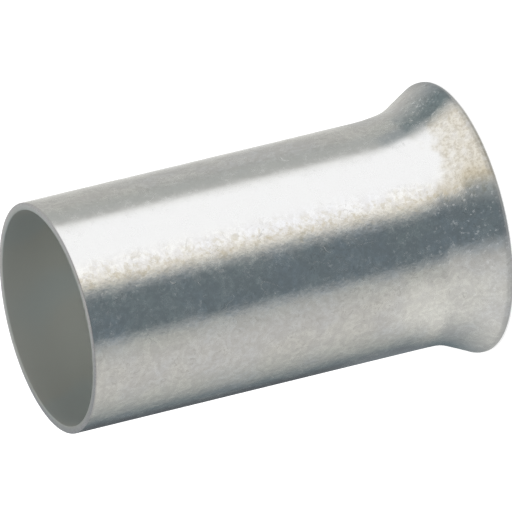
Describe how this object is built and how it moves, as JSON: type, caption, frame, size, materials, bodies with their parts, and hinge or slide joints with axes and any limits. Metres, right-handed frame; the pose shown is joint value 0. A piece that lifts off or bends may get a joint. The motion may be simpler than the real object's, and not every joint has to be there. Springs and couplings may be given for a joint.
{
  "type": "wire ferrule",
  "caption": "Thin tinned copper sleeve with a square-cut end and a flared bell mouth, crimped over the bared strands of a stranded wire.",
  "frame": {"origin": "centre of the bell mouth's face, on which the ferrule stands", "axes": "+Z along the sleeve's axis, from the bell mouth to the cut end; X and Y are alike, because the sleeve is round"},
  "size_m": [0.0073, 0.0072, 0.0118],
  "materials": {
    "tin_plating": "satin tin plating on copper, softly clouded and handled"
  },
  "bodies": {
    "root": {"ferrule": "tin_plating"}
  },
  "joints": []
}
